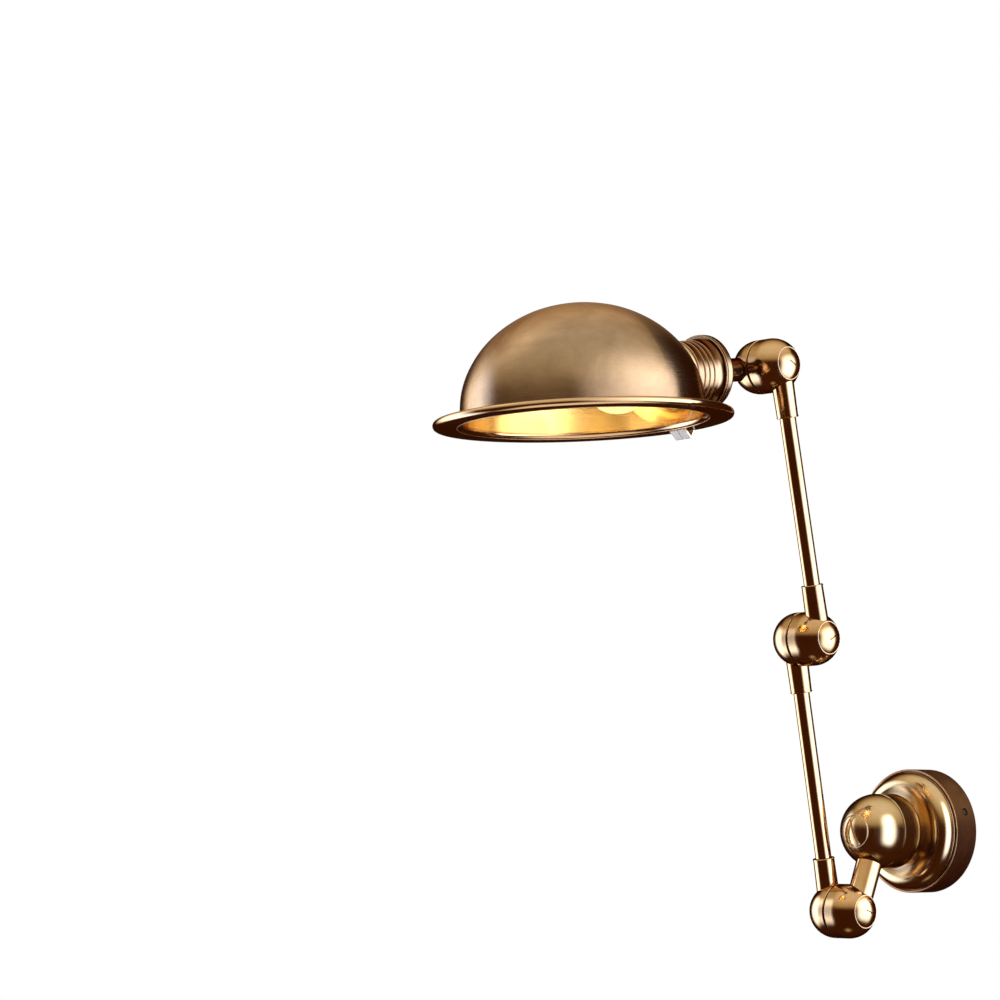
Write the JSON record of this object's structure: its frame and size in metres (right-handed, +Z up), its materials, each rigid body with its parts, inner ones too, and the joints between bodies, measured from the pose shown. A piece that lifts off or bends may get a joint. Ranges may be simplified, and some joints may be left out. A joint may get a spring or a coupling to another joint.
{
  "type": "articulating wall lamp",
  "caption": "Wall-mounted aged brass lamp with a swivelling ball, a short link, elbow-jointed arms and a domed metal shade on a ringed socket cup.",
  "frame": {"origin": "centre of the canopy on the wall face, which is the middle of the two wall screws", "axes": "+Z up, +Y into the wall, -Y into the room, +X along the wall to the right of someone who faces the wall"},
  "size_m": [0.2738, 0.5762, 0.5804],
  "materials": {
    "aged_brass": "lacquered aged brass, polished with dark patina",
    "aged_brass_dark": "aged brass, darker and brushed round the drum",
    "bright_brass": "plain machined brass",
    "zinc_steel": "zinc plated steel",
    "nylon": "black nylon friction washer",
    "black_plastic": "moulded black phenolic",
    "porcelain": "glazed white porcelain",
    "lead_insulation": "heat-resistant lead insulation",
    "bulb_glass": "frosted lamp glass",
    "nickel_shell": "nickel plated sheet",
    "bulb_insulator": "black glass insulator with a solder dot"
  },
  "bodies": {
    "wall_mount": {"wall_plate": "zinc_steel", "earth_screw": "bright_brass", "terminal_block": "porcelain", "terminal_screws": "bright_brass", "canopy_drum": "aged_brass_dark", "canopy_cover": "aged_brass", "canopy_set_screws": "zinc_steel", "neck_washer": "zinc_steel", "neck_nut": "zinc_steel", "wall_joint_base": "aged_brass", "wall_joint_pivot_bolt": "zinc_steel", "wall_joint_friction_washer": "nylon"},
    "wall_link": {"wall_joint_front": "aged_brass", "wall_joint_spring_washer": "zinc_steel", "wall_joint_cap": "aged_brass", "link_tube": "aged_brass", "lower_elbow_right_half": "aged_brass", "lower_elbow_cap": "aged_brass", "lower_elbow_spring_washer": "zinc_steel"},
    "lower_arm": {"lower_elbow_left_half": "aged_brass", "lower_elbow_pivot_bolt": "zinc_steel", "lower_elbow_friction_washer": "nylon", "lower_arm_bottom_ferrule": "aged_brass", "lower_arm_tube": "aged_brass", "lower_arm_top_ferrule": "aged_brass", "lower_arm_leads": "lead_insulation", "middle_elbow_left_half": "aged_brass", "middle_elbow_pivot_bolt": "zinc_steel", "middle_elbow_friction_washer": "nylon"},
    "upper_arm": {"middle_elbow_right_half": "aged_brass", "middle_elbow_cap": "aged_brass", "middle_elbow_spring_washer": "zinc_steel", "upper_arm_bottom_ferrule": "aged_brass", "upper_arm_tube": "aged_brass", "upper_arm_top_ferrule": "aged_brass", "upper_arm_leads": "lead_insulation", "shade_elbow_right_half": "aged_brass", "shade_elbow_cap": "aged_brass", "shade_elbow_spring_washer": "zinc_steel"},
    "shade_stem": {"shade_elbow_left_half": "aged_brass", "shade_elbow_pivot_bolt": "zinc_steel", "shade_elbow_friction_washer": "nylon", "stem_tube": "aged_brass", "stem_nipple": "zinc_steel", "cup_lock_nut": "zinc_steel"},
    "shade_head": {"cup_back_plate": "aged_brass", "cup_spring_washer": "zinc_steel", "socket_cup": "aged_brass", "lampholder_screws": "zinc_steel", "lampholder_body": "porcelain", "lampholder_shell": "bright_brass", "lampholder_contact": "bright_brass", "shade_ring": "black_plastic", "shade": "aged_brass", "rim_clip": "nickel_shell", "bulb_glass": "bulb_glass", "bulb_base": "nickel_shell", "bulb_tip": "bulb_insulator"}
  },
  "joints": [
    {"name": "wall_swivel", "type": "hinge", "parent": "wall_mount", "child": "wall_link", "pos_m": [0, -0.076, 0], "axis": [0, -1, 0], "range_deg": [-160, 160]},
    {"name": "lower_elbow", "type": "hinge", "parent": "wall_link", "child": "lower_arm", "pos_m": [-0.017, -0.10843, -0.0764], "axis": [1, 0, 0], "range_deg": [-11, 140]},
    {"name": "middle_elbow", "type": "hinge", "parent": "lower_arm", "child": "upper_arm", "pos_m": [-0.017, -0.15654, 0.18318], "axis": [-1, 0, 0], "range_deg": [-120, 135]},
    {"name": "shade_tilt", "type": "hinge", "parent": "upper_arm", "child": "shade_stem", "pos_m": [-0.017, -0.20917, 0.44188], "axis": [1, 0, 0], "range_deg": [-100, 45]},
    {"name": "shade_turn", "type": "hinge", "parent": "shade_stem", "child": "shade_head", "pos_m": [-0.0325, -0.20917, 0.44188], "axis": [0, -0.9877, -0.1564], "range_deg": [-45, 45]}
  ]
}
